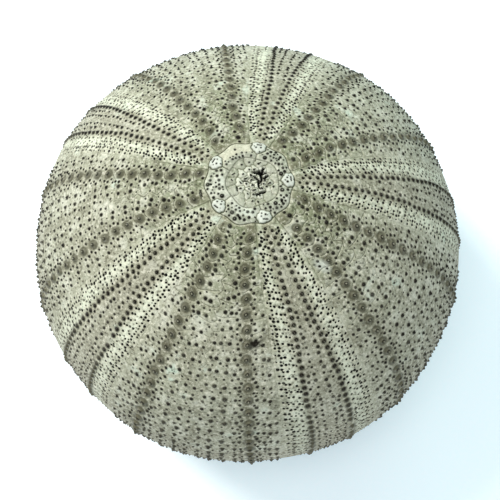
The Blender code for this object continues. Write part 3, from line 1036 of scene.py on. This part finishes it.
    def scales(self):
        """Periproct scales: larger and greener outside, small, pale and puffy round the slits."""
        east, north, chance = self.east, self.north, self.chance
        on_scales = self.skin_gap < 0.0
        heart = (0.9, 0.3)                      # the scale in the midst of the slits
        seeds = [heart]
        for reach, number in ((0.95, 6), (1.85, 10), (2.85, 12), (4.35, 13)):
            for step in range(number):
                swing = 2.0 * math.pi * (step + chance.uniform(-0.22, 0.22)) / number + reach
                pull = np.array((0.7, 0.3)) * (1.0 - reach / 5.4)
                spoke = reach * np.array((math.cos(swing), math.sin(swing)))
                seeds.append(scale_centre + pull + spoke + chance.normal(0.0, 0.10, 2))
        seeds = np.array(seeds)
        bent_east = east + 0.14 * np.sin(3.1 * north + 1.0) + 0.07 * np.sin(7.3 * north + east)
        bent_north = north + 0.14 * np.sin(2.7 * east) + 0.07 * np.sin(6.9 * east + 2.0 * north)
        away = np.hypot(bent_east[:, None] - seeds[:, 0], bent_north[:, None] - seeds[:, 1])
        order = np.argsort(away, axis=1)[:, :2]
        nearest, second = np.take_along_axis(away, order, axis=1).T
        border = second - nearest
        cell = order[:, 0]
        seed_reach = np.hypot(seeds[:, 0] - heart[0], seeds[:, 1] - heart[1])
        bright = np.clip(1.45 - seed_reach / 3.6, 0.0, 1.0) * chance.uniform(0.55, 1.0, len(seeds))
        mark = chance.uniform(0.0, 1.0, len(seeds))

        puff = 0.26 * (1.0 - np.exp(-border / 0.34)) - 0.10 * bell(border, 0.10)
        sunk = -0.36 * soft_step(-self.skin_gap, 0.0, 0.5)
        self.rise = np.where(on_scales, sunk + puff * soft_step(-self.skin_gap, 0.05, 0.4), self.rise)
        near_slits = bell(np.hypot(east - 1.4, north - 0.6), 2.6)
        blotch = 0.5 + 0.5 * np.sin(2.3 * east + 1.1 * north) * np.sin(1.9 * north - 0.7 * east)
        blotch *= near_slits
        self.tones["seam"] += on_scales * (0.36 + 0.75 * blotch) * bell(border, 0.11 + 0.08 * blotch)
        self.tones["seam"] += 0.8 * on_scales * bell(self.skin_gap, 0.11)
        self.tones["white"] += on_scales * bright[cell] * soft_step(border, 0.04, 0.28) * 0.8
        self.tones["cream"] += on_scales * bright[cell] * soft_step(border, 0.04, 0.28) * 0.5
        self.tones["pale"] += on_scales * 0.25 * soft_step(border, 0.05, 0.35)
        self.tones["areole"] += on_scales * 0.32 * np.clip(seed_reach[cell] / 5.0, 0.0, 1.0)
        size = np.where(mark > 0.2, 0.20 + 0.15 * mark, 0.0)[cell]
        speck = on_scales * (mark > 0.2)[cell] * soft_step(nearest, size + 0.05, 0.6 * size)
        self.most("boss", speck * 0.95)
        self.rise += speck * 0.10

    def slits(self):
        """The anal slits: points of each, east and north, and its half width."""
        for *points, half_width in (
                ((0.41, 2.34), (1.84, 2.35), (2.07, 3.63), 0.30),
                ((1.84, 2.35), (2.31, 1.12), (2.20, 0.90), 0.27),
                ((1.30, 2.90), (1.84, 2.35), (2.70, 2.75), 0.25),
                ((0.70, 1.49), (1.75, 0.95), (1.99, -0.18), 0.19),
                ((1.99, -0.18), (2.10, -0.50), (2.53, -0.78), 0.15),
                ((2.12, -2.20), (2.80, -1.70), (3.63, -1.15), 0.25),
                ((2.72, 1.62), (3.00, 2.00), (3.27, 2.36), 0.24),
                ((-1.35, -0.10), (-0.60, 0.05), (-0.10, -0.05), 0.09),
                ((-2.20, -1.60), (-1.95, -2.00), (-1.90, -2.40), 0.10)):
            ragged = half_width * (1.0 + 0.35 * np.sin(self.east * 17.0) * np.sin(self.north * 15.0))
            away = near_line(self.east, self.north, points)
            self.most("pore", soft_step(away, ragged + 0.07, ragged - 0.05))
            self.rise -= 0.9 * soft_step(away, ragged + 0.08, ragged - 0.10)

    def dots(self):
        """The tubercles of the genital plates; the largest have a pale tip, which is a painted highlight."""
        off_edge = disc_edge(self.turn) - self.along > 0.1
        for east, north, reach, dark in disc_dots(self.chance):
            speck = np.hypot(self.east - east, self.north - north)
            self.most("boss", dark * soft_step(speck, 1.15 * reach, 0.82 * reach))
            self.most("areole", 0.35 * soft_step(speck, 1.6 * reach, reach))
            if reach > 0.35:
                # Painted highlight: the dark of the largest dots lifts at their middle.
                self.tones["boss"] *= 1.0 - 0.75 * soft_step(speck, 0.30 * reach, 0.10 * reach)
                self.most("areole", 0.6 * soft_step(speck, 1.4 * reach, 0.9 * reach))
            self.rise += 0.55 * reach * soft_step(speck, reach, 0.1 * reach) * off_edge

    def build(self):
        """Triangulates the disc and its smooth inner face, a wall's thickness below."""
        self.rise[:self.rim] = -0.12
        for name in tone_names:
            self.tones[name][:self.rim] = name == "seam"
        pick, polygons = triangulate(zip(self.east, self.north), list(range(self.rim)))
        outer = on_wall(self.along[pick], self.turn[pick], self.rise[pick])
        rows = np.arange(-9.0, 9.0, 1.1)
        ring = np.column_stack((self.east, self.north))[:self.rim:3]
        under = np.concatenate((ring, [(x, y) for y in rows for x in rows if math.hypot(x, y) < 8.0]))
        lined, lined_faces = triangulate(under, list(range(len(ring))))
        under = under[lined]
        inner = on_wall(np.hypot(*under.T), np.arctan2(under[:, 0], -under[:, 1]), -wall)
        polygons += [tuple(len(outer) + index for index in reversed(face)) for face in lined_faces]
        tones = {name: np.clip(value[pick], 0.0, 1.0) for name, value in self.tones.items()}
        flat = np.concatenate((np.column_stack((self.north[pick], self.east[pick])), under[:, ::-1]))
        make_piece("apical_disc", outer, inner, polygons, tones, flat)


disc = Disc(seed=5)
disc.genital_plates()
disc.ocular_plates()
disc.scales()
disc.slits()
disc.dots()
disc.build()

# ---------------------------------------------------------------------------------------------
# The floor: a plain sheet of pale paper with a painted faint blue glow, which tints the shade
# of the shell.  The shell just rests on it, on the tips of its lowest tubercles.

floor_half = 3.0
floor_drop = 0.02 * MM                          # clear of the tubercle tips
floor_mesh = bpy.data.meshes.new("floor")
floor_corners = [(-1, -1), (1, -1), (1, 1), (-1, 1)]
floor_mesh.from_pydata([(x * floor_half, y * floor_half, 0.0) for x, y in floor_corners], [], [(0, 1, 2, 3)])
floor = bpy.data.objects.new("floor", floor_mesh)
floor.location.z = -floor_drop
bpy.context.scene.collection.objects.link(floor)
paper = Recipe("white_paper")
fibre = paper.noise(paper.node("ShaderNodeTexCoord").outputs["Object"], 900.0, 3.0)
paper_colour = paper.tint(shade_of(255, 255, 255), shade_of(248, 253, 255), fibre)
paper.feed(paper.surface.inputs["Base Color"], paper_colour)
paper.surface.inputs["Roughness"].default_value = 0.8
# Painted glow: a faint blue emission that stands in for bluish light in the shade.
paper.surface.inputs["Emission Color"].default_value = (0.05, 0.60, 1.0, 1.0)
paper.surface.inputs["Emission Strength"].default_value = 0.13
floor_mesh.materials.append(paper.material)

# ---------------------------------------------------------------------------------------------
# The camera stands high over the front of the shell and a little to its right, rolled slightly.
# Its lens is a little longer than normal, and its small shift places the shell in the frame.

view_turn, view_lift, view_roll = math.radians(12.4), math.radians(72.3), math.radians(-1.9)
view_far = 3.51 * girth * MM
target = Vector((0.0, 0.0, girth_height * MM))
back = Vector((math.sin(view_turn) * math.cos(view_lift), -math.cos(view_turn) * math.cos(view_lift),
               math.sin(view_lift)))
level = Vector((math.cos(view_turn), math.sin(view_turn), 0.0))
upright = back.cross(level)
right = math.cos(view_roll) * level - math.sin(view_roll) * upright
up = math.sin(view_roll) * level + math.cos(view_roll) * upright
lens = bpy.data.cameras.new("camera")
lens.sensor_width = 36.0
lens.lens = 51.9
lens.shift_x = 0.006
lens.shift_y = -0.005
lens.clip_start = 0.01
camera = bpy.data.objects.new("camera", lens)
stance = Matrix((right, up, back)).transposed().to_4x4()
camera.matrix_world = Matrix.Translation(target + back * view_far) @ stance
bpy.context.scene.collection.objects.link(camera)
bpy.context.scene.camera = camera

# ---------------------------------------------------------------------------------------------
# The light: a warm window on the upper left, a large soft lamp overhead, a dim greenish window
# behind, and a pale room all round.


def soft_light(name, spot, size, watts, colour):
    data = bpy.data.lights.new(name, "AREA")
    data.shape = "DISK"
    data.size = size
    data.energy = watts
    data.color = colour
    lamp = bpy.data.objects.new(name, data)
    lamp.location = spot
    lamp.rotation_euler = (target - Vector(spot)).to_track_quat("-Z", "Y").to_euler()
    bpy.context.scene.collection.objects.link(lamp)


soft_light("window", (-0.62, 0.22, 0.68), 0.35, 7.5, (1.0, 0.98, 0.93))
soft_light("overhead", (-0.05, -0.25, 1.1), 0.9, 5.0, (1.0, 1.0, 1.0))
soft_light("far window", (0.05, 0.85, 0.40), 0.5, 1.4, (0.55, 1.0, 0.86))
world = bpy.data.worlds.new("room")
world.use_nodes = True
world.node_tree.nodes["Background"].inputs[0].default_value = (0.88, 0.98, 1.0, 1.0)
world.node_tree.nodes["Background"].inputs[1].default_value = 0.55
bpy.context.scene.world = world
bpy.context.scene.view_settings.view_transform = "Standard"
